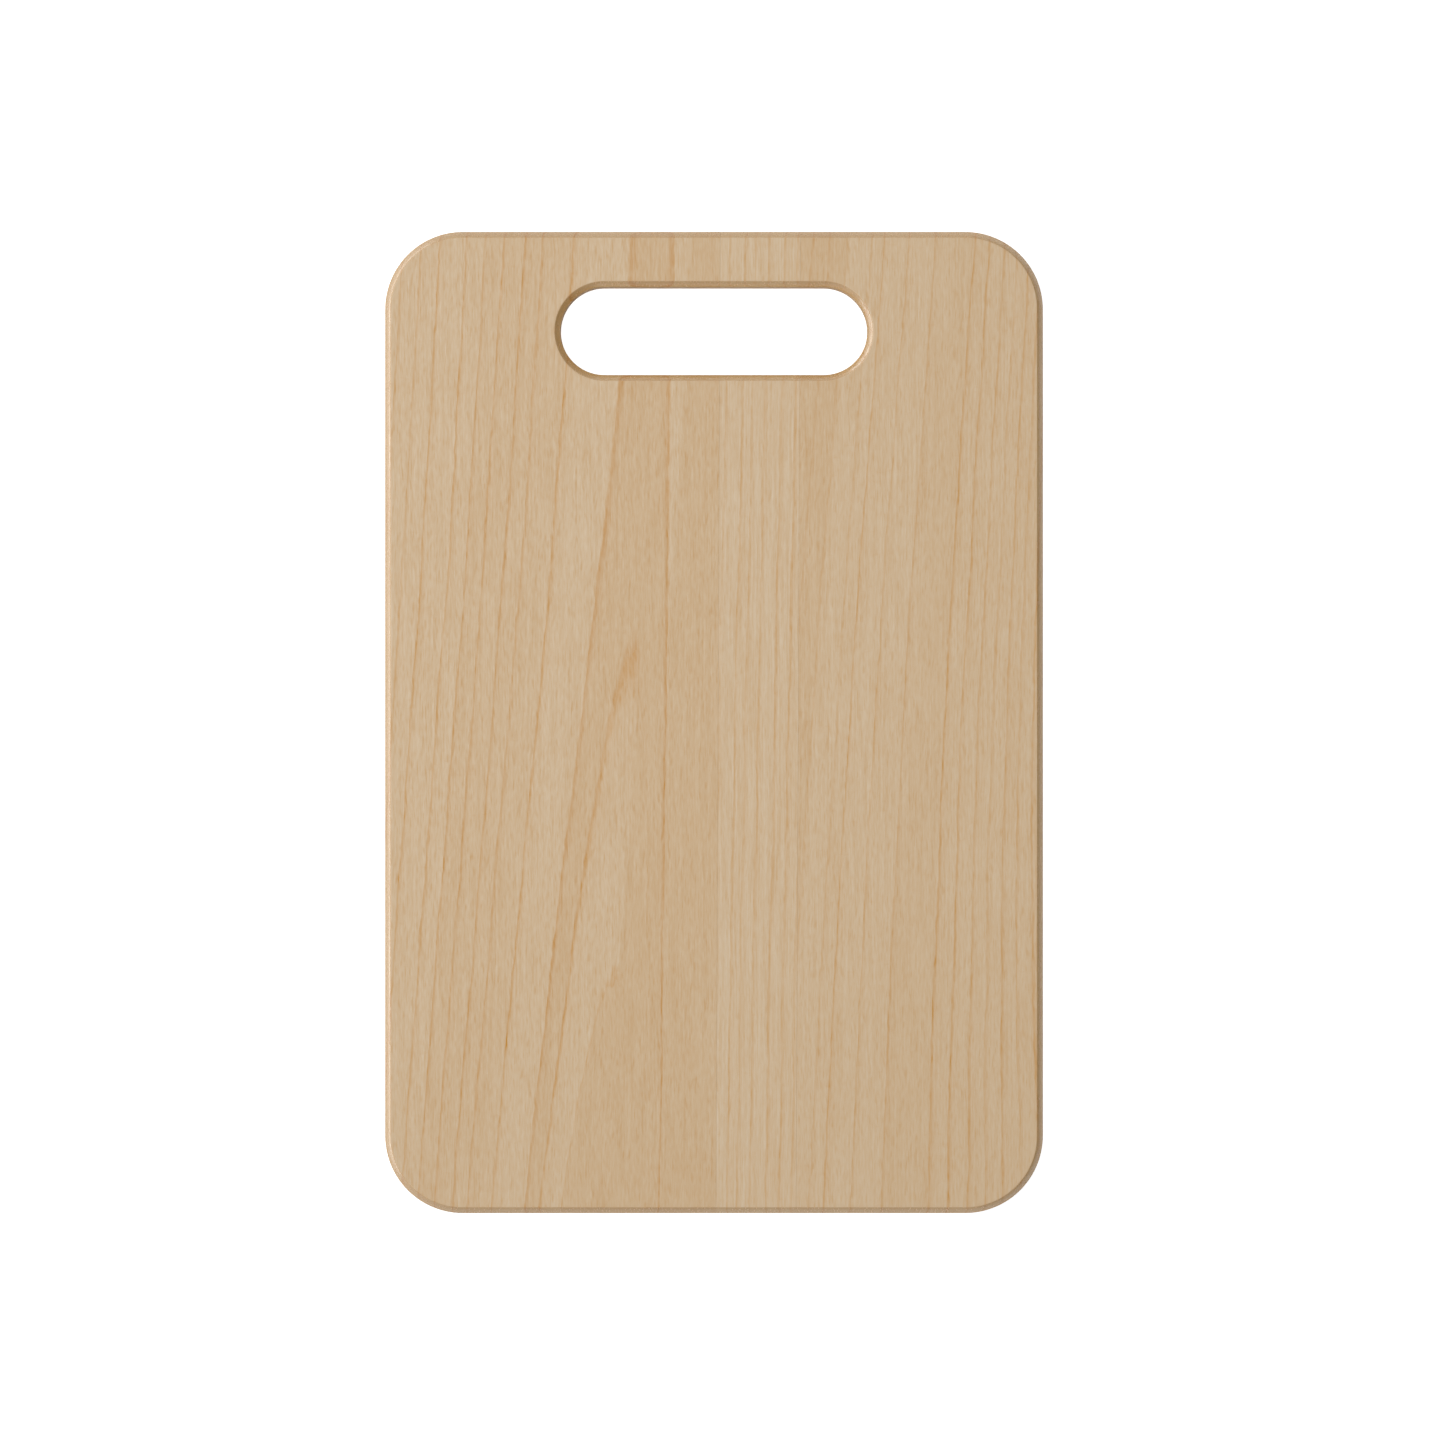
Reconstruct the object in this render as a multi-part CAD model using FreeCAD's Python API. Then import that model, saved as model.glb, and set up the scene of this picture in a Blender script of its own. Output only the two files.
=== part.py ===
"""Edge-glued hardwood cutting board with a routed hand slot near one end.

Three hard-maple staves are glued edge to edge into a panel.  The rounded outline is cut
from that panel, the hand slot is routed through it, and every outer edge is eased with a
small softened chamfer.  The slot is longer than the middle stave is wide, so it parts that
stave, and the glue lines on both sides of it, into a long piece below the slot and a short
one in the bridge of wood above it.

Frame: millimetres.  The origin is the centre of the resting face, +X runs across the
board, +Y runs along the grain towards the hand slot and +Z points up, out of the cutting
face.  Each piece is written to parts/NODE.step.
"""

import FreeCAD
import Part

import math
import os

# Board
board_width = 240.0
board_length = 358.0
board_thickness = 18.0
corner_radius = 28.3

# Hand slot: a slot with round ends, centred across the board
slot_length = 112.0
slot_width = 32.0
slot_margin = 20.2  # wood left between the slot and the end of the board

# Eased edges: a 45 degree chamfer whose two arrises are sanded round
chamfer_leg = 2.1
arris_radius = 0.8

# Glued panel: where the two joints cross the middle of the board's length.  The outline
# was cut a little out of line with the staves, so both joints lean by the same angle.
left_joint_x = 1.5
right_joint_x = 30.7
panel_skew_deg = 0.25
glue_thickness = 0.1

# Worked out from the sizes above
slot_radius = slot_width / 2
slot_centre_y = board_length / 2 - slot_margin - slot_radius
slot_arc_x = slot_length / 2 - slot_radius
region_reach = 2 * board_length  # how far a cutting region runs past the board
height_tolerance = 1e-4

parts_folder = "parts"


def vector(x, y, z=0.0):
    return FreeCAD.Vector(x, y, z)


def rounded_rectangle(width, length, radius):
    """A closed wire centred on the origin, with an arc at each corner."""
    half_x = width / 2
    half_y = length / 2
    arc_inset = radius * (1 - math.cos(math.radians(45)))
    corners = [(1, 1), (-1, 1), (-1, -1), (1, -1)]
    edges = []
    ends = []
    for sign_x, sign_y in corners:
        on_side = vector(sign_x * half_x, sign_y * (half_y - radius))
        on_end = vector(sign_x * (half_x - radius), sign_y * half_y)
        middle = vector(sign_x * (half_x - arc_inset), sign_y * (half_y - arc_inset))
        # Going anticlockwise, the side comes first at the corners where the signs agree
        first, last = (on_side, on_end) if sign_x == sign_y else (on_end, on_side)
        edges.append(Part.Arc(first, middle, last).toShape())
        ends.append((first, last))
    for index, (_, last) in enumerate(ends):
        next_first = ends[(index + 1) % len(ends)][0]
        edges.append(Part.makeLine(last, next_first))
    return Part.Wire(Part.__sortEdges__(edges))


def slot_outline(centre_y, half_straight, radius):
    """A closed wire: two straight sides along X joined by half circles."""
    upper_right = vector(half_straight, centre_y + radius)
    upper_left = vector(-half_straight, centre_y + radius)
    lower_left = vector(-half_straight, centre_y - radius)
    lower_right = vector(half_straight, centre_y - radius)
    left_tip = vector(-half_straight - radius, centre_y)
    right_tip = vector(half_straight + radius, centre_y)
    edges = [
        Part.makeLine(upper_right, upper_left),
        Part.Arc(upper_left, left_tip, lower_left).toShape(),
        Part.makeLine(lower_left, lower_right),
        Part.Arc(lower_right, right_tip, upper_right).toShape(),
    ]
    return Part.Wire(edges)


def prism(outline, height):
    return Part.Face(outline).extrude(vector(0, 0, height))


def level_edges(shape, heights):
    """The edges of a shape that lie flat at one of the given heights."""
    found = []
    for edge in shape.Edges:
        low = edge.BoundBox.ZMin
        high = edge.BoundBox.ZMax
        for height in heights:
            if abs(low - height) < height_tolerance and abs(high - height) < height_tolerance:
                found.append(edge)
                break
    return found


def eased(slab):
    """The slab with its outer and slot edges chamfered, and both arrises rounded."""
    chamfered = slab.makeChamfer(chamfer_leg, level_edges(slab, [0, board_thickness]))
    arris_heights = [0, chamfer_leg, board_thickness - chamfer_leg, board_thickness]
    return chamfered.makeFillet(arris_radius, level_edges(chamfered, arris_heights))


def board_panel():
    """The finished board in one piece, before it is parted along its glue joints."""
    blank = prism(rounded_rectangle(board_width, board_length, corner_radius), board_thickness)
    slot = prism(slot_outline(slot_centre_y, slot_arc_x, slot_radius), board_thickness)
    return eased(blank.cut(slot))


def stave_region(left_x, right_x):
    """A block between two lines that lean with the panel and cross y = 0 at the given x."""
    block = Part.makeBox(
        right_x - left_x,
        2 * region_reach,
        board_thickness + 2,
        vector(left_x, -region_reach, -1),
    )
    # Turning about each line's own crossing point keeps that crossing at y = 0
    block.rotate(vector(left_x, 0), vector(0, 0, 1), -panel_skew_deg)
    return block


def parted(panel, left_x, right_x):
    """The solids of the panel between two joints, from the foot end to the slot end."""
    solids = panel.common(stave_region(left_x, right_x)).Solids
    return sorted(solids, key=lambda solid: solid.BoundBox.YMin)


def board_pieces():
    """Every piece of the board, as a dict from node name to solid."""
    panel = board_panel()
    half_glue = glue_thickness / 2
    left_film = (left_joint_x - half_glue, left_joint_x + half_glue)
    right_film = (right_joint_x - half_glue, right_joint_x + half_glue)
    bands = [
        (["left_stave"], -region_reach, left_film[0]),
        (["left_glue_line", "left_glue_line_bridge"], *left_film),
        (["centre_stave", "centre_stave_bridge"], left_film[1], right_film[0]),
        (["right_glue_line", "right_glue_line_bridge"], *right_film),
        (["right_stave"], right_film[1], region_reach),
    ]
    pieces = {}
    for names, left_x, right_x in bands:
        solids = parted(panel, left_x, right_x)
        if len(solids) != len(names):
            raise RuntimeError(f"{names} came out as {len(solids)} solids")
        pieces.update(zip(names, solids))
    return pieces


def main():
    os.makedirs(parts_folder, exist_ok=True)
    for name, solid in board_pieces().items():
        if not solid.isValid():
            raise RuntimeError(f"{name} is not a valid solid")
        solid.exportStep(os.path.join(parts_folder, name + ".step"))
        print(f"{name}: {solid.Volume / 1000:.2f} cm3")


main()
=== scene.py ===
"""Looks of an edge-glued maple cutting board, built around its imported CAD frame.

The board is shaped the way it is made: one panel mesh with rounded corners, a hand slot
and eased edges is parted along the glue joints into staves and glue films.  Each stave
gets its own piece of solid wood: growth rings round a pith line, so that the cutting
face, the edges and the end grain all show the same rings.
"""

import math
from collections import namedtuple

import bmesh
import bpy
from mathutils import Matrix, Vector


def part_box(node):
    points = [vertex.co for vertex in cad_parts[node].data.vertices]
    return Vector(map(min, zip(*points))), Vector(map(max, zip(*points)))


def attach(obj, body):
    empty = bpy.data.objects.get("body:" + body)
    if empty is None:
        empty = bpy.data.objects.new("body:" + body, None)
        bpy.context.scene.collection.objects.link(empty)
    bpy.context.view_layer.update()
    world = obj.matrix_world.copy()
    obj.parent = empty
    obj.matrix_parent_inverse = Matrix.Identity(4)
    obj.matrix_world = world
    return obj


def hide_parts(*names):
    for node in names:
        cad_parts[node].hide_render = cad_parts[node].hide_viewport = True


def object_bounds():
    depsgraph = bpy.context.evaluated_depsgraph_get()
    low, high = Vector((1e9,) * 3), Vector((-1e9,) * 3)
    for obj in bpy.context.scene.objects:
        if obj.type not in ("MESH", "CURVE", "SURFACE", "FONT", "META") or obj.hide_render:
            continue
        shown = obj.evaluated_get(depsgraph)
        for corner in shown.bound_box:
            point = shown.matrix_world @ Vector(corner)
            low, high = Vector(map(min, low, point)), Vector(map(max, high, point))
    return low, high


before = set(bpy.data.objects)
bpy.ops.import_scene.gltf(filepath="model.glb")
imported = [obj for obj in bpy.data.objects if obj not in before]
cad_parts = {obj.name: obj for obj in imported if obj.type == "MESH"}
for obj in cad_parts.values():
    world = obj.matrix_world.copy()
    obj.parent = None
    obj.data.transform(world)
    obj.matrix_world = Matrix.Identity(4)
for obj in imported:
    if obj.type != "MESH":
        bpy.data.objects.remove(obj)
cad_low, cad_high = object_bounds()

MM = 0.001
board_centre = (cad_low + cad_high) / 2
board_thickness_mm = (cad_high.z - cad_low.z) / MM

# Sizes that the node boxes don't give, as in the CAD model
CORNER_RADIUS = 28.3 * MM
SLOT_HALF_LENGTH = 56.0 * MM
CHAMFER_LEG = 2.1 * MM
CHAMFER_DEG = 45
ARRIS_RADIUS = 0.8 * MM
GLUE_THICKNESS = 0.1 * MM

# Mesh fineness
CORNER_STEPS = 30
SLOT_END_STEPS = 48
ARRIS_STEPS = 5
FLAT_WITHIN_DEG = 0.05

# Camera: straight above, far away, so that the board is seen almost without perspective
CAMERA_DISTANCE = 4.0
PICTURE_WIDTH = 526.9 * MM
CAMERA_OFFSET = Vector((3.1 * MM, 0, 0))
SENSOR_WIDTH_MM = 36.0
VIEW_LIMIT = 3 * CAMERA_DISTANCE


# ---------------------------------------------------------------- shape

def rounded_rectangle(half_width, half_length, radius):
    """Points of the outline, anticlockwise, each with its outward direction."""
    outline = []
    corners = [(1, 1, 0), (-1, 1, 90), (-1, -1, 180), (1, -1, 270)]
    for sign_x, sign_y, start_deg in corners:
        centre = Vector((sign_x * (half_width - radius), sign_y * (half_length - radius)))
        for step in range(CORNER_STEPS + 1):
            angle = math.radians(start_deg + 90 * step / CORNER_STEPS)
            outward = Vector((math.cos(angle), math.sin(angle)))
            outline.append((centre + radius * outward, outward))
    return outline


def slot_outline(centre_y, half_straight, radius):
    """Points round the hand slot, each with the direction that points into the hole."""
    outline = []
    for side, start_deg in ((1, -90), (-1, 90)):
        centre = Vector((side * half_straight, centre_y))
        for step in range(SLOT_END_STEPS + 1):
            angle = math.radians(start_deg + 180 * step / SLOT_END_STEPS)
            ray = Vector((math.cos(angle), math.sin(angle)))
            outline.append((centre + radius * ray, -ray))
    return outline


def edge_profile(thickness):
    """(inset, height) from the resting face up to the cutting face, over both chamfers."""
    turn = math.radians(CHAMFER_DEG)
    reach = ARRIS_RADIUS * math.tan(turn / 2)
    # Arris centres seen from the lower chamfer: one over the face, one beside the wall
    face_centre = (CHAMFER_LEG + reach, ARRIS_RADIUS)
    wall_centre = (ARRIS_RADIUS, CHAMFER_LEG + reach)
    lower = []
    for (inset, height), start in ((face_centre, 0), (wall_centre, turn)):
        for step in range(ARRIS_STEPS + 1):
            angle = start + turn * step / ARRIS_STEPS
            arris_inset = inset - ARRIS_RADIUS * math.sin(angle)
            arris_height = height - ARRIS_RADIUS * math.cos(angle)
            lower.append((arris_inset, arris_height))
    upper = [(inset, thickness - height) for inset, height in reversed(lower)]
    return lower + upper


def add_rim(mesh, outline, profile):
    """Sweeps the profile round a closed outline; returns the rim's lower and upper loops."""
    rings = []
    for inset, height in profile:
        ring = []
        for point, outward in outline:
            x, y = point - inset * outward
            ring.append(mesh.verts.new((x, y, height)))
        rings.append(ring)
    count = len(outline)
    for below, above in zip(rings, rings[1:]):
        for index in range(count):
            after = (index + 1) % count
            face = mesh.faces.new((below[index], below[after], above[after], above[index]))
            face.smooth = True
    loops = []
    for ring in (rings[0], rings[-1]):
        loops.append([mesh.edges.get((ring[i], ring[(i + 1) % count])) for i in range(count)])
    return loops


def board_panel(sizes):
    """The whole board as one closed mesh."""
    mesh = bmesh.new()
    profile = edge_profile(sizes["thickness"])
    outer = rounded_rectangle(sizes["half_width"], sizes["half_length"], CORNER_RADIUS)
    slot_radius = sizes["slot_half_width"]
    slot = slot_outline(sizes["slot_centre_y"], SLOT_HALF_LENGTH - slot_radius, slot_radius)
    outer_loops = add_rim(mesh, outer, profile)
    slot_loops = add_rim(mesh, slot, profile)
    for outer_loop, slot_loop in zip(outer_loops, slot_loops):
        bmesh.ops.triangle_fill(mesh, edges=outer_loop + slot_loop, use_beauty=True)
    bmesh.ops.recalc_face_normals(mesh, faces=mesh.faces)
    return mesh


def trim(mesh, crossing_x, slope, keep_right):
    """Cuts the mesh along a joint plane, drops one side and closes the cut with flat faces."""
    normal = Vector((1, -slope, 0)).normalized()
    geometry = mesh.verts[:] + mesh.edges[:] + mesh.faces[:]
    cut = bmesh.ops.bisect_plane(
        mesh,
        geom=geometry,
        plane_co=(crossing_x, 0, 0),
        plane_no=normal,
        clear_inner=keep_right,
        clear_outer=not keep_right,
    )
    cut_edges = [item for item in cut["geom_cut"] if isinstance(item, bmesh.types.BMEdge)]
    for cap in bmesh.ops.holes_fill(mesh, edges=cut_edges, sides=0)["faces"]:
        cap.smooth = False
        for edge in cap.edges:
            edge.smooth = False


def merge_flats(mesh):
    """Joins the triangles of each flat face into one face."""
    bmesh.ops.dissolve_limit(
        mesh,
        angle_limit=math.radians(FLAT_WITHIN_DEG),
        verts=mesh.verts,
        edges=[edge for edge in mesh.edges if not any(face.smooth for face in edge.link_faces)],
        delimit={"SHARP"},
    )


def keep_side(mesh, split_y, above):
    """Drops the loose part on the other side of a line across the board."""
    dropped = [vert for vert in mesh.verts if (vert.co.y > split_y) != above]
    bmesh.ops.delete(mesh, geom=dropped, context="VERTS")


def panel_sizes():
    """The board's sizes and joint lines, read from the CAD nodes' boxes."""
    _, foot_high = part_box("centre_stave")
    bridge_low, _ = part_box("centre_stave_bridge")
    sizes = {
        "half_width": (cad_high.x - cad_low.x) / 2,
        "half_length": (cad_high.y - cad_low.y) / 2,
        "thickness": cad_high.z - cad_low.z,
        "slot_centre_y": (foot_high.y + bridge_low.y) / 2,
        "slot_half_width": (bridge_low.y - foot_high.y) / 2,
    }
    low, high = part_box("left_glue_line")
    slope = (high.x - low.x - GLUE_THICKNESS) / (high.y - low.y)
    sizes["slope"] = slope
    for side in ("left", "right"):
        low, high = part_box(side + "_glue_line")
        middle = (low + high) / 2
        sizes[side + "_joint_x"] = middle.x - slope * middle.y
    return sizes


def make_piece(panel, sizes, node, left_x, right_x, above_slot):
    """One piece of the parted panel, standing for a CAD node."""
    name = node + "_piece"
    mesh = panel.copy()
    if left_x is not None:
        trim(mesh, left_x, sizes["slope"], keep_right=True)
    if right_x is not None:
        trim(mesh, right_x, sizes["slope"], keep_right=False)
    if above_slot is not None:
        keep_side(mesh, sizes["slot_centre_y"], above_slot)
    merge_flats(mesh)
    data = bpy.data.meshes.new(name)
    mesh.to_mesh(data)
    mesh.free()
    piece = bpy.data.objects.new(name, data)
    bpy.context.scene.collection.objects.link(piece)
    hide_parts(node)
    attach(piece, "root")
    return piece


# ---------------------------------------------------------------- node helpers

class Nodes:
    """Short calls for building a material's node tree."""

    def __init__(self, material):
        material.use_nodes = True
        self.tree = material.node_tree
        self.tree.nodes.clear()

    def add(self, kind, **settings):
        node = self.tree.nodes.new(kind)
        for name, value in settings.items():
            setattr(node, name, value)
        return node

    def feed(self, socket, value):
        if isinstance(value, bpy.types.NodeSocket):
            self.tree.links.new(value, socket)
        else:
            socket.default_value = value

    def math(self, operation, *values):
        node = self.add("ShaderNodeMath", operation=operation)
        for socket, value in zip(node.inputs, values):
            self.feed(socket, value)
        return node.outputs[0]

    def total(self, *values):
        result = values[0]
        for value in values[1:]:
            result = self.math("ADD", result, value)
        return result

    def product(self, *values):
        result = values[0]
        for value in values[1:]:
            result = self.math("MULTIPLY", result, value)
        return result

    def point(self, x, y, z):
        node = self.add("ShaderNodeCombineXYZ")
        for socket, value in zip(node.inputs, (x, y, z)):
            self.feed(socket, value)
        return node.outputs[0]

    def parts(self, vector):
        node = self.add("ShaderNodeSeparateXYZ")
        self.feed(node.inputs[0], vector)
        return node.outputs[0], node.outputs[1], node.outputs[2]

    def scaled(self, vector, factor):
        node = self.add("ShaderNodeVectorMath", operation="SCALE")
        self.feed(node.inputs[0], vector)
        node.inputs["Scale"].default_value = factor
        return node.outputs[0]

    def noise(self, place, pattern, seed=0):
        """Noise of a pattern, centred on 0 and about -0.5 to 0.5, at a place in mm."""
        x, y, z = place
        start = seed + pattern.seed_step
        spot = self.point(
            self.math("MULTIPLY_ADD", x, 1 / pattern.across, start),
            self.math("MULTIPLY_ADD", y, 1 / pattern.along, 2 * start),
            self.math("MULTIPLY_ADD", z, 1 / pattern.through, 3 * start),
        )
        node = self.add("ShaderNodeTexNoise", noise_dimensions="3D")
        self.feed(node.inputs["Vector"], spot)
        node.inputs["Scale"].default_value = 1.0
        node.inputs["Detail"].default_value = pattern.detail
        return self.math("SUBTRACT", node.outputs["Fac"], 0.5)

    def ramp(self, value, low, high, to_low=0.0, to_high=1.0):
        """A smooth step: to_low where the value is low, to_high where it is high."""
        node = self.add("ShaderNodeMapRange", interpolation_type="SMOOTHSTEP")
        self.feed(node.inputs["Value"], value)
        self.feed(node.inputs["From Min"], low)
        self.feed(node.inputs["From Max"], high)
        self.feed(node.inputs["To Min"], to_low)
        self.feed(node.inputs["To Max"], to_high)
        return node.outputs["Result"]

    def curve(self, value, points):
        """Straight lines through (in, out) points, both from 0 to 1."""
        node = self.add("ShaderNodeFloatCurve")
        drawn = node.mapping.curves[0]
        # New points start in the middle and are then moved to their places
        while len(drawn.points) < len(points):
            drawn.points.new(0.5, 0.5)
        for handle, (place, height) in zip(drawn.points, points):
            handle.location = (place, height)
            handle.handle_type = "VECTOR"
        node.mapping.update()
        self.feed(node.inputs["Value"], value)
        return node.outputs[0]

    def blend(self, amount, first, second, kind="MIX"):
        node = self.add("ShaderNodeMix", data_type="RGBA", blend_type=kind, clamp_factor=False)
        colours = [socket for socket in node.inputs if socket.type == "RGBA"]
        self.feed(node.inputs["Factor"], amount)
        self.feed(colours[0], first)
        self.feed(colours[1], second)
        return next(socket for socket in node.outputs if socket.type == "RGBA")

    def finish(self, shader):
        output = self.add("ShaderNodeOutputMaterial")
        self.feed(output.inputs["Surface"], shader.outputs[0])


def colour(red, green, blue):
    return (red, green, blue, 1.0)


# ---------------------------------------------------------------- wood

# How dark a ring's outer line is, and how tan the wood inside it is
HINT, FAINT, SOFT, CLEAR, STRONG = 0.1, 0.4, 0.62, 0.78, 1.0
PALE, LIGHT, MIXED, TAN = 0.0, 0.22, 0.5, 0.78

# Each ring of a chart is (outer radius in mm, its dark line, its tone).  The radii put the
# rings where the grain lines of the board's cutting face were measured.
LEFT_RINGS = [
    (9.5, HINT, TAN), (15.5, HINT, TAN), (21, HINT, TAN), (27.4, STRONG, LIGHT), (32, CLEAR, TAN),
    (43.3, STRONG, LIGHT), (51.7, SOFT, MIXED), (57, CLEAR, MIXED), (63.6, CLEAR, MIXED),
    (69.5, CLEAR, MIXED), (75.5, CLEAR, LIGHT), (84.5, STRONG, LIGHT), (91, SOFT, LIGHT),
    (97.5, SOFT, LIGHT), (105, SOFT, LIGHT), (115, SOFT, LIGHT),
]
CENTRE_RINGS = [
    (96, SOFT, PALE), (101.5, SOFT, PALE), (105.3, FAINT, PALE), (108.7, SOFT, PALE),
    (112.5, SOFT, PALE), (117.3, SOFT, PALE), (120.9, FAINT, PALE), (124, SOFT, PALE),
    (128.8, FAINT, PALE), (134, SOFT, PALE), (140, SOFT, PALE),
]
RIGHT_RINGS = [
    (51.5, SOFT, MIXED), (56, SOFT, MIXED), (60.2, SOFT, MIXED), (64.6, CLEAR, MIXED),
    (68.8, CLEAR, LIGHT), (72.6, FAINT, LIGHT), (76.7, CLEAR, LIGHT), (80.8, FAINT, LIGHT),
    (85.2, SOFT, LIGHT), (90.5, CLEAR, LIGHT), (95.9, CLEAR, LIGHT), (109.8, SOFT, MIXED),
    (119.2, FAINT, LIGHT), (128.2, STRONG, LIGHT), (132.7, FAINT, LIGHT), (141.2, FAINT, LIGHT),
    (148, FAINT, TAN), (154, FAINT, TAN), (160, FAINT, TAN), (168, FAINT, TAN),
]

# Where each stave's pith line runs, in mm: pith_x and pith_lean give its place across the
# board, depth, dip and bow its distance from the cutting face as it goes along the grain.
# pith_above tells whether that is over the face or under it.  squeeze narrows the rings
# right of the pith line.  plain_from is the radius of the only ring with a clear line there,
# and how far right of the pith line the wood turns plain.  dashes and fibres tell how strong
# the fine figure is.
LEFT_WOOD = {
    "rings": LEFT_RINGS,
    "pith_x": -30.5,
    "pith_lean": 0.055,
    "depth": 26.3,
    "dip": 0.0454,
    "bow": -0.000117,
    "pith_above": True,
    "squeeze": 0.7,
    "plain_from": (32, 12.5),
    "dashes": 0.9,
    "fibres": 0.4,
    "seed": 11.17,
}
CENTRE_WOOD = {
    "rings": CENTRE_RINGS,
    "pith_x": 110.0,
    "pith_lean": 0.02,
    "depth": 70.0,
    "dip": 0.0,
    "bow": 0.0,
    "pith_above": True,
    "squeeze": 1.0,
    "plain_from": None,
    "dashes": 0.6,
    "fibres": 0.75,
    "seed": 37.17,
}
RIGHT_WOOD = {
    "rings": RIGHT_RINGS,
    "pith_x": 170.0,
    "pith_lean": 0.1,
    "depth": 43.0,
    "dip": -0.1,
    "bow": 0.0,
    "pith_above": False,
    "squeeze": 1.0,
    "plain_from": None,
    "dashes": 0.8,
    "fibres": 0.5,
    "seed": 71.17,
}

# Within about this many mm of the cutting face the rings go almost straight down, so that
# the grain lines cross the eased edge without a jump
EASED_DEPTH = 4.0

# A noise pattern has features that reach so many mm across, along and through the board.
# The step is added to the stave's seed, so that no two patterns of a stave are alike.
Pattern = namedtuple("Pattern", "across along through seed_step detail")
LONG_BENDS = Pattern(60, 190, 60, 0, 1.0)
WAVES = Pattern(14, 45, 14, 0, 2.0)
KINKS = Pattern(3, 12, 3, 0, 1.0)
RIPPLES = Pattern(2.4, 7, 2.4, 2, 1.0)
PRESENCE = Pattern(18, 36, 18, 3, 2.0)
BREAKS = Pattern(1.2, 6, 1.2, 4, 2.0)
RAYS = Pattern(0.6, 1.6, 4, 5, 1.0)
STROKES = Pattern(0.45, 4.2, 0.45, 6, 0.0)
FINE_DASHES = Pattern(0.42, 2.9, 0.42, 7, 0.0)
COARSE_DASHES = Pattern(0.8, 10, 0.8, 8, 0.0)
FIBRES = Pattern(0.55, 30, 0.55, 9, 0.0)
STREAKS = Pattern(5, 150, 5, 11, 2.0)
CLOUDS = Pattern(30, 70, 30, 13, 2.0)
GLUE_PATCHES = Pattern(3, 9, 3, 5, 3.0)

# How far the patterns push the grain, in mm
LONG_BEND_SIZE = 1.5
WAVE_SIZE = 1.6
KINK_SIZE = 0.5
RIPPLE_SIZE = 0.7

# The dark line at a ring's end, in mm: a core that is sharper on its outer side, and a tail
# that fades into the ring
CORE_REACH = 0.85
CORE_SHARPNESS = 2.2
TAIL_REACH = 1.1
CORE_SHARE = 0.8
TAIL_SHARE = 0.3

# Ramps over noise: (noise low, noise high) and, if not 0 to 1, (result low, result high)
PRESENCE_RAMP = (-0.2, 0.12, 0.65, 1.0)
BREAKS_RAMP = (-0.25, 0.2, 0.6, 1.15)
STROKES_RAMP = (0.08, 0.3)
RAYS_RAMP = (0.1, 0.3)
GLUE_PATCHES_RAMP = (-0.2, 0.2)

# How much each pattern darkens or tans the wood
FINE_SHARE = 0.75
COARSE_SHARE = 0.16
STROKES_SHARE = 0.42
LINES_SHARE = 1.3
RAYS_SHARE = 0.15
STREAKS_SHARE = 0.35
CLOUDS_SHARE = 0.2

# The plain wood's borders fade over these places, in mm: right of the pith line, out from
# the only clear ring, in from it, and right of where the wood turns plain
RIGHT_OF_PITH = (0.0, 4.0)
BEYOND_RING = (0.2, 1.2)
WITHIN_RING = (-1.0, -3.0)
PLAIN_START = (-1.0, 2.0)
# The share of the other rings' lines that is hidden there
LINES_HIDDEN = 0.9

# A surface's normal along z, or along y for end grain, from where its tint or shine starts
# to where it is full
EDGE_TURN = (0.995, 0.9)
EASED_TURN = (0.45, 0.7)
SLOPE_TURN = (0.55, 0.7)
END_GRAIN_TURN = (0.78, 0.95)

PALE_WOOD = colour(0.631, 0.460, 0.279)
TAN_WOOD = colour(0.596, 0.404, 0.215)
LINE_TINT = colour(0.925, 0.755, 0.51)
# Wall and eased-edge tints darken every edge against the face: partly oil in the cut fibres, partly
# painted shade
WALL_OIL_AND_SHADE_TINT = colour(0.98, 0.92, 0.78)
EASED_OIL_AND_SHADE_TINT = colour(0.96, 0.82, 0.56)
END_GRAIN_TINT = colour(0.97, 0.94, 0.90)
GLUE_PALE = colour(0.50, 0.33, 0.17)
GLUE_DARK = colour(0.38, 0.23, 0.11)

# The finish: fibres stand up, dashes and ring lines lie low
RELIEF = 0.008 * MM
BUMP_STRENGTH = 0.5
FIBRE_HEIGHT = 0.6
DASH_HEIGHT = -1.0
LINE_HEIGHT = -0.3
SATIN = 0.48
FIGURE_ROUGHNESS = 0.2
SLOPE_ROUGHNESS = -0.27
# On the flat and on the slope of an eased edge
SHINE = (0.5, 1.0)
REFRACTION = (1.5, 2.0)
# Where the glue is pale and where it is dark
GLUE_ROUGHNESS = (0.35, 0.55)

# Studio
FLOOR_SIZE = 40.0
FLOOR_GAP = 0.2 * MM
FLOOR_WHITE = colour(0.85, 0.85, 0.85)
FLOOR_GLOW = 0.85
# The sky's light, and how much more of it comes from the right and from behind
SKY_LEVEL = 0.416
SKY_RIGHT = -0.368
SKY_BACK = 0.08
# (name, direction, distance, width and height in metres, power in watts)
LAMPS = [
    ("key", (-1.0, 0.25, 0.08), 1.2, 2.8, 0.13, 2.2),
    ("top", (-0.2, 0.1, 1.0), 1.5, 1.0, 1.0, 12.2),
]


def bent_grain(nodes, x, y, z, seed):
    """The x coordinate, pushed sideways by the grain's slow bends and small kinks."""
    moved = x
    for pattern, size in ((LONG_BENDS, LONG_BEND_SIZE), (WAVES, WAVE_SIZE), (KINKS, KINK_SIZE)):
        push = nodes.noise((x, y, z), pattern, seed)
        moved = nodes.total(moved, nodes.product(push, size))
    return moved


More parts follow.
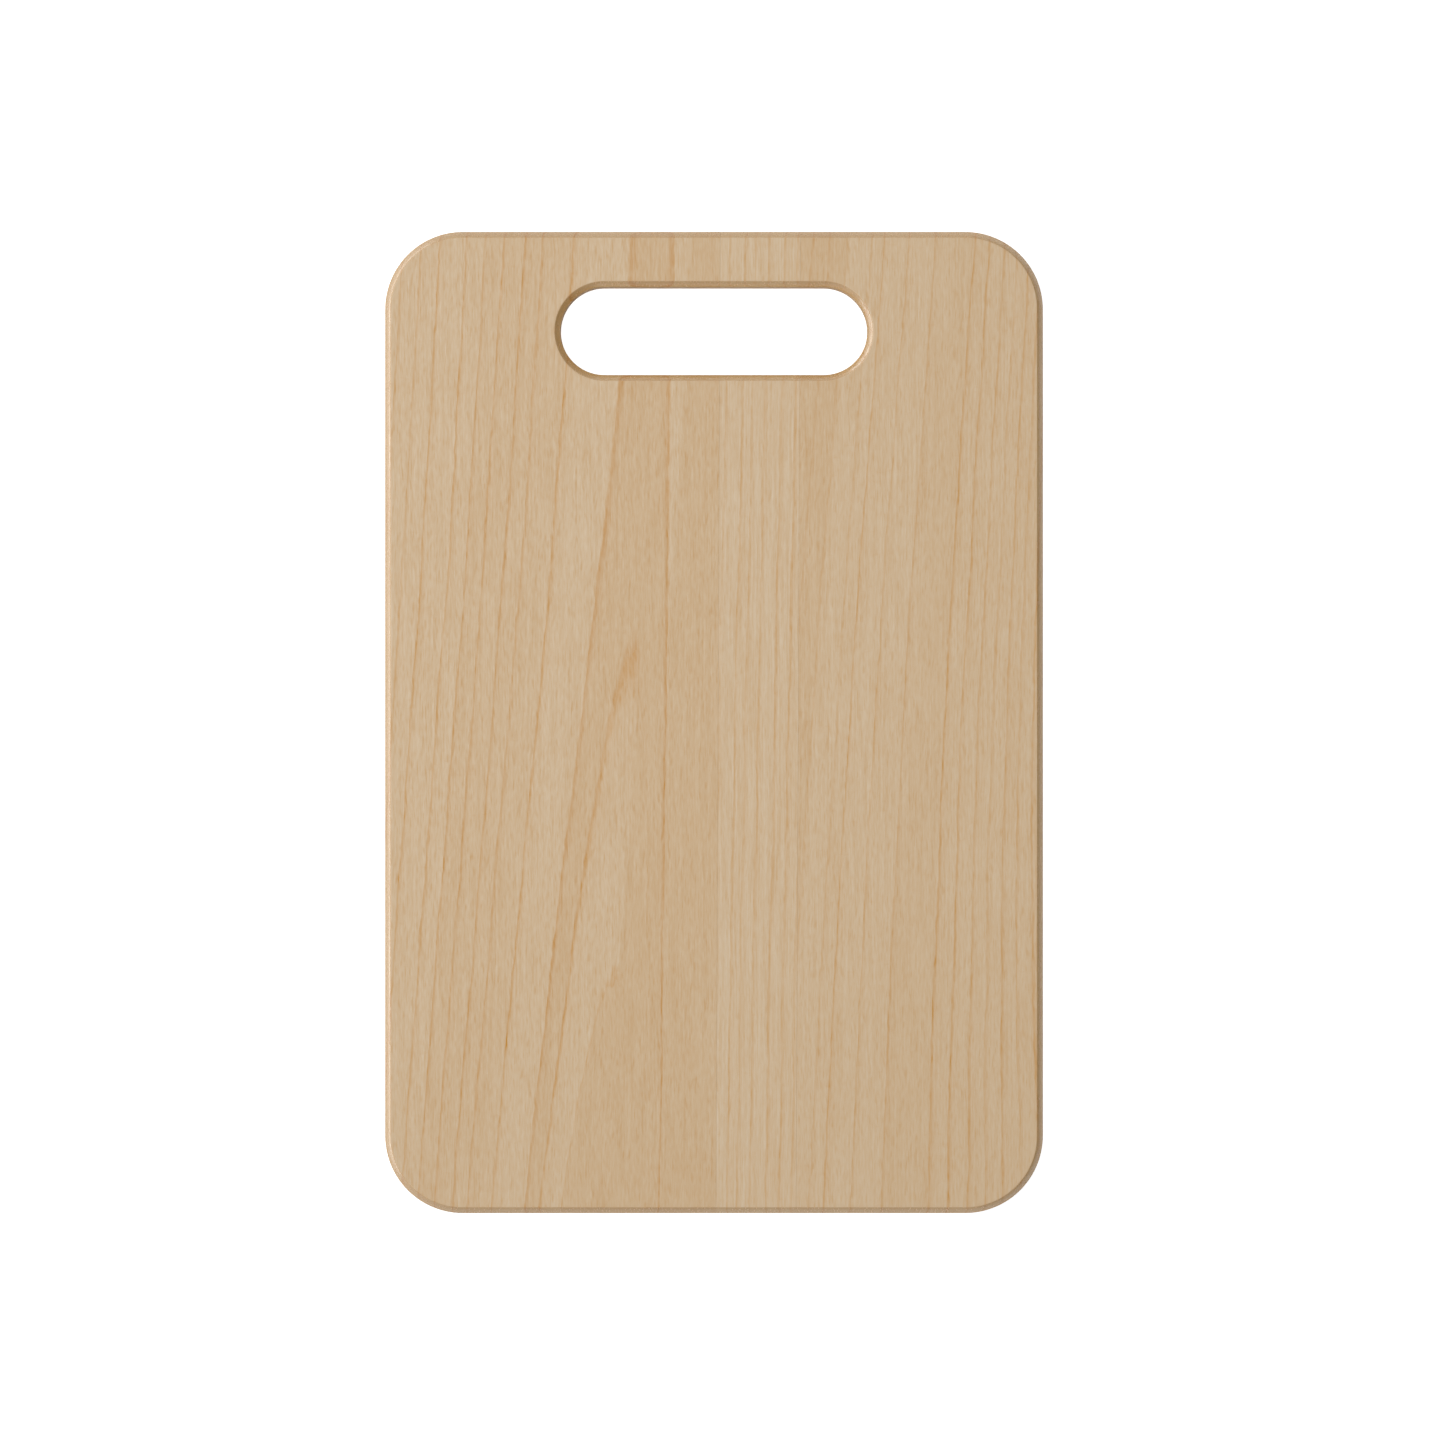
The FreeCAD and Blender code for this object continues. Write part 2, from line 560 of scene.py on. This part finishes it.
def ring_place(nodes, x, y, z, wood):
    """Distance from the pith line, distance round it, and distance right of it, in mm."""
    pith_x = nodes.math("MULTIPLY_ADD", y, wood["pith_lean"], wood["pith_x"])
    depth = nodes.math("MULTIPLY_ADD", nodes.product(y, y), wood["bow"], wood["depth"])
    depth = nodes.math("MULTIPLY_ADD", y, wood["dip"], depth)
    below_face = nodes.math("SUBTRACT", board_thickness_mm, z)
    squared = nodes.product(below_face, below_face)
    sunk = nodes.math("DIVIDE", squared, nodes.total(below_face, EASED_DEPTH))
    sign = 1.0 if wood["pith_above"] else -1.0
    depth = nodes.math("MULTIPLY_ADD", sunk, sign, depth)
    across = nodes.math("SUBTRACT", x, pith_x)
    if wood["squeeze"] != 1.0:
        right_part = nodes.math("DIVIDE", nodes.math("MAXIMUM", across, 0.0), wood["squeeze"])
        across = nodes.total(nodes.math("MINIMUM", across, 0.0), right_part)
    radius = nodes.math("SQRT", nodes.total(nodes.product(across, across), nodes.product(depth, depth)))
    around = nodes.product(nodes.math("ARCTAN2", across, depth), wood["depth"])
    ripple = nodes.noise((x, y, z), RIPPLES, wood["seed"])
    radius = nodes.math("MULTIPLY_ADD", ripple, RIPPLE_SIZE, radius)
    return radius, around, across


def growth_rings(nodes, radius, chart):
    """The ring at a radius: its dark line, its tone, and mm from its inner and to its outer end."""
    count = len(chart)
    limit = chart[-1][0]
    bounds = [0.0] + [outer for outer, line, tan in chart]
    widths = [after - before for before, after in zip(bounds, bounds[1:])]
    widest = max(widths)
    steps = [(bound / limit, index / count) for index, bound in enumerate(bounds)]
    number = nodes.product(nodes.curve(nodes.math("DIVIDE", radius, limit), steps), count)
    middle = nodes.math("DIVIDE", nodes.math("ADD", nodes.math("FLOOR", number), 0.5), count)
    share = nodes.math("FRACT", number)

    def looked_up(values):
        points = [((index + 0.5) / count, value) for index, value in enumerate(values)]
        return nodes.curve(middle, points)

    width = nodes.product(looked_up([width / widest for width in widths]), widest)
    line = looked_up([line for outer, line, tan in chart])
    tan = looked_up([tan for outer, line, tan in chart])
    from_inner = nodes.product(share, width)
    to_outer = nodes.math("SUBTRACT", width, from_inner)
    return line, tan, from_inner, to_outer


def dark_lines(nodes, place, seed, line, from_inner, to_outer):
    """How dark the wood is where a ring ends; the lines come and go and are broken up."""
    nearest = nodes.math("MINIMUM", to_outer, nodes.product(from_inner, CORE_SHARPNESS))
    core = nodes.ramp(nearest, 0.0, CORE_REACH, 1.0, 0.0)
    tail = nodes.math("EXPONENT", nodes.math("DIVIDE", to_outer, -TAIL_REACH))
    presence = nodes.ramp(nodes.noise(place, PRESENCE, seed), *PRESENCE_RAMP)
    broken = nodes.ramp(nodes.noise(place, BREAKS, seed), *BREAKS_RAMP)
    amount = nodes.total(nodes.product(core, CORE_SHARE), nodes.product(tail, TAIL_SHARE))
    return nodes.product(amount, line, presence, broken)


def vessel_dashes(nodes, grain_place, seed):
    """Short dashes along the grain, where the vessels are cut open."""
    fine = nodes.noise(grain_place, FINE_DASHES, seed)
    coarse = nodes.noise(grain_place, COARSE_DASHES, seed)
    strokes = nodes.ramp(nodes.noise(grain_place, STROKES, seed), *STROKES_RAMP)
    return nodes.total(
        nodes.product(fine, FINE_SHARE),
        nodes.product(coarse, COARSE_SHARE),
        nodes.product(strokes, STROKES_SHARE),
    )


def plain_side(nodes, wood, radius, across, lines, tan):
    """Lines and tone with the right of the pith plain, but for one ring's line."""
    clear_ring, plain_start = wood["plain_from"]
    plain_start = plain_start / wood["squeeze"]
    right_half = nodes.ramp(across, *RIGHT_OF_PITH)
    beyond = nodes.ramp(radius, *[clear_ring + step for step in BEYOND_RING])
    within = nodes.ramp(radius, *[clear_ring + step for step in WITHIN_RING])
    outside = nodes.product(right_half, beyond)
    inside = nodes.product(right_half, within)
    hidden = nodes.product(nodes.total(outside, inside), LINES_HIDDEN)
    lines = nodes.product(lines, nodes.math("SUBTRACT", 1.0, hidden))
    far_right = nodes.ramp(across, *[plain_start + step for step in PLAIN_START])
    plain = nodes.math("MAXIMUM", far_right, inside)
    tan = nodes.total(tan, nodes.product(plain, nodes.math("SUBTRACT", TAN, tan)))
    return lines, tan


def edge_masks(nodes, normal):
    """Where the surface is any edge, an eased edge, the slope of one, or end grain."""
    _, normal_y, normal_z = nodes.parts(normal)
    facing_up = nodes.math("ABSOLUTE", normal_z)
    facing_end = nodes.math("ABSOLUTE", normal_y)
    edge = nodes.ramp(facing_up, *EDGE_TURN)
    eased = nodes.product(edge, nodes.ramp(facing_up, *EASED_TURN))
    slope = nodes.product(edge, nodes.ramp(facing_up, *SLOPE_TURN))
    end_grain = nodes.ramp(facing_end, *END_GRAIN_TURN)
    return edge, eased, slope, end_grain


def wood_material(name, wood):
    """Solid wood of one stave: growth rings, fine figure, and its edges' tint (partly painted shade)
    and shine.
    """
    material = bpy.data.materials.new(name)
    nodes = Nodes(material)
    coordinates = nodes.add("ShaderNodeTexCoord")
    x, y, z = nodes.parts(nodes.scaled(coordinates.outputs["Object"], 1 / MM))
    seed = wood["seed"]
    place = (x, y, z)

    grain_x = bent_grain(nodes, x, y, z, seed)
    grain_place = (grain_x, y, z)
    radius, around, across = ring_place(nodes, grain_x, y, z, wood)
    line, tan, from_inner, to_outer = growth_rings(nodes, radius, wood["rings"])
    lines = dark_lines(nodes, place, seed, line, from_inner, to_outer)
    if wood["plain_from"] is not None:
        lines, tan = plain_side(nodes, wood, radius, across, lines, tan)

    dashes = vessel_dashes(nodes, grain_place, seed)
    fibres = nodes.noise(grain_place, FIBRES, seed)
    rays = nodes.ramp(nodes.noise((around, y, radius), RAYS, seed), *RAYS_RAMP)
    streaks = nodes.noise(grain_place, STREAKS, seed)
    clouds = nodes.noise(place, CLOUDS, seed)
    tone = nodes.total(
        tan,
        nodes.product(streaks, STREAKS_SHARE),
        nodes.product(clouds, CLOUDS_SHARE),
    )
    grain = nodes.total(
        nodes.product(lines, LINES_SHARE),
        nodes.product(dashes, wood["dashes"]),
        nodes.product(fibres, wood["fibres"]),
        nodes.product(rays, RAYS_SHARE),
    )
    wood_colour = nodes.blend(tone, PALE_WOOD, TAN_WOOD)
    lined_colour = nodes.blend(1.0, wood_colour, LINE_TINT, "MULTIPLY")
    wood_colour = nodes.blend(grain, wood_colour, lined_colour)

    # Walls and eased edges are tinted darker and browner than the face. Part of this is oil that the
    # cut fibres drink, and part is painted shade of edges turned from the face's light.
    # The eased edges are sanded finest and get the deepest tint, partly painted shade; their slopes
    # shine the most.
    edge, eased, slope, end_grain = edge_masks(nodes, coordinates.outputs["Normal"])
    edge_oil_and_shade_tint = nodes.blend(eased, WALL_OIL_AND_SHADE_TINT, EASED_OIL_AND_SHADE_TINT)
    wood_colour = nodes.blend(edge, wood_colour, edge_oil_and_shade_tint, "MULTIPLY")
    wood_colour = nodes.blend(end_grain, wood_colour, END_GRAIN_TINT, "MULTIPLY")

    bump = nodes.add("ShaderNodeBump")
    bump.inputs["Strength"].default_value = BUMP_STRENGTH
    bump.inputs["Distance"].default_value = RELIEF
    height = nodes.total(
        nodes.product(fibres, FIBRE_HEIGHT),
        nodes.product(dashes, DASH_HEIGHT),
        nodes.product(lines, LINE_HEIGHT),
    )
    nodes.feed(bump.inputs["Height"], height)
    roughness = nodes.total(
        SATIN,
        nodes.product(fibres, FIGURE_ROUGHNESS),
        nodes.product(dashes, FIGURE_ROUGHNESS),
        nodes.product(slope, SLOPE_ROUGHNESS),
    )

    shader = nodes.add("ShaderNodeBsdfPrincipled")
    nodes.feed(shader.inputs["Base Color"], wood_colour)
    nodes.feed(shader.inputs["Roughness"], roughness)
    nodes.feed(shader.inputs["Specular IOR Level"], nodes.ramp(slope, 0.0, 1.0, *SHINE))
    nodes.feed(shader.inputs["IOR"], nodes.ramp(slope, 0.0, 1.0, *REFRACTION))
    nodes.feed(shader.inputs["Normal"], bump.outputs[0])
    nodes.finish(shader)
    return material


def glue_material():
    """Dried glue: a hairline of amber, darker where dust and oil sit in it."""
    material = bpy.data.materials.new("glue")
    nodes = Nodes(material)
    coordinates = nodes.add("ShaderNodeTexCoord")
    place = nodes.parts(nodes.scaled(coordinates.outputs["Object"], 1 / MM))
    patches = nodes.ramp(nodes.noise(place, GLUE_PATCHES), *GLUE_PATCHES_RAMP)
    shader = nodes.add("ShaderNodeBsdfPrincipled")
    nodes.feed(shader.inputs["Base Color"], nodes.blend(patches, GLUE_PALE, GLUE_DARK))
    nodes.feed(shader.inputs["Roughness"], nodes.ramp(patches, 0.0, 1.0, *GLUE_ROUGHNESS))
    nodes.finish(shader)
    return material


# ---------------------------------------------------------------- the board

sizes = panel_sizes()
half_glue = GLUE_THICKNESS / 2
left_joint = sizes["left_joint_x"]
right_joint = sizes["right_joint_x"]

left_wood = wood_material("maple_left", LEFT_WOOD)
centre_wood = wood_material("maple_centre", CENTRE_WOOD)
right_wood = wood_material("maple_right", RIGHT_WOOD)
glue = glue_material()
# (material, record slot, left side or none, right side or none, [(node, above the slot)])
bands = [
    (left_wood, "maple_left", None, left_joint - half_glue, [("left_stave", None)]),
    (glue, "glue", left_joint - half_glue, left_joint + half_glue,
     [("left_glue_line", False), ("left_glue_line_bridge", True)]),
    (centre_wood, "maple_centre", left_joint + half_glue, right_joint - half_glue,
     [("centre_stave", False), ("centre_stave_bridge", True)]),
    (glue, "glue", right_joint - half_glue, right_joint + half_glue,
     [("right_glue_line", False), ("right_glue_line_bridge", True)]),
    (right_wood, "maple_right", right_joint + half_glue, None, [("right_stave", None)]),
]

panel = board_panel(sizes)
for material, slot_name, left_x, right_x, members in bands:
    for node, above_slot in members:
        piece = make_piece(panel, sizes, node, left_x, right_x, above_slot)
        piece.data.materials.append(material)
panel.free()


# ---------------------------------------------------------------- studio

def white_floor():
    """A plain white floor: almost without shadow when seen from above."""
    bpy.ops.mesh.primitive_plane_add(size=FLOOR_SIZE, location=(0, 0, cad_low.z - FLOOR_GAP))
    floor = bpy.context.object
    floor.name = "floor"
    material = bpy.data.materials.new("floor")
    nodes = Nodes(material)
    paper = nodes.add("ShaderNodeBsdfDiffuse")
    paper.inputs["Color"].default_value = FLOOR_WHITE
    glow = nodes.add("ShaderNodeEmission")
    seen = nodes.add("ShaderNodeLightPath").outputs["Is Camera Ray"]
    nodes.feed(glow.inputs["Strength"], nodes.product(seen, FLOOR_GLOW))
    both = nodes.add("ShaderNodeAddShader")
    nodes.feed(both.inputs[0], paper.outputs[0])
    nodes.feed(both.inputs[1], glow.outputs[0])
    nodes.finish(both)
    floor.data.materials.append(material)


def area_light(name, direction, distance, width, height, power):
    """A soft light panel that shines on the board from a direction and isn't seen itself."""
    light = bpy.data.lights.new(name, "AREA")
    light.shape = "RECTANGLE"
    light.size = width
    light.size_y = height
    light.energy = power
    lamp = bpy.data.objects.new(name, light)
    bpy.context.scene.collection.objects.link(lamp)
    towards = Vector(direction).normalized()
    lamp.location = board_centre + distance * towards
    lamp.rotation_mode = "QUATERNION"
    lamp.rotation_quaternion = towards.to_track_quat("Z", "Y")
    lamp.visible_camera = False
    return lamp


def studio_world():
    """White behind everything; as light, brightest on the left and a little brighter behind."""
    world = bpy.data.worlds.new("studio")
    bpy.context.scene.world = world
    nodes = Nodes(world)
    direction = nodes.add("ShaderNodeTexCoord").outputs["Generated"]
    right, back, _ = nodes.parts(direction)
    level = nodes.total(SKY_LEVEL, nodes.product(right, SKY_RIGHT), nodes.product(back, SKY_BACK))
    seen = nodes.add("ShaderNodeLightPath").outputs["Is Camera Ray"]
    strength = nodes.total(level, nodes.product(seen, nodes.math("SUBTRACT", 1.0, level)))
    background = nodes.add("ShaderNodeBackground")
    background.inputs["Color"].default_value = colour(1, 1, 1)
    nodes.feed(background.inputs["Strength"], strength)
    output = nodes.add("ShaderNodeOutputWorld")
    nodes.feed(output.inputs["Surface"], background.outputs[0])


def camera_above():
    data = bpy.data.cameras.new("camera")
    data.sensor_width = SENSOR_WIDTH_MM
    data.lens = SENSOR_WIDTH_MM * CAMERA_DISTANCE / PICTURE_WIDTH
    data.clip_end = VIEW_LIMIT
    camera = bpy.data.objects.new("camera", data)
    bpy.context.scene.collection.objects.link(camera)
    camera.location = Vector((0, 0, cad_high.z + CAMERA_DISTANCE)) + CAMERA_OFFSET
    bpy.context.scene.camera = camera


studio_world()
white_floor()
for lamp_settings in LAMPS:
    area_light(*lamp_settings)
camera_above()
bpy.context.scene.view_settings.view_transform = "Standard"
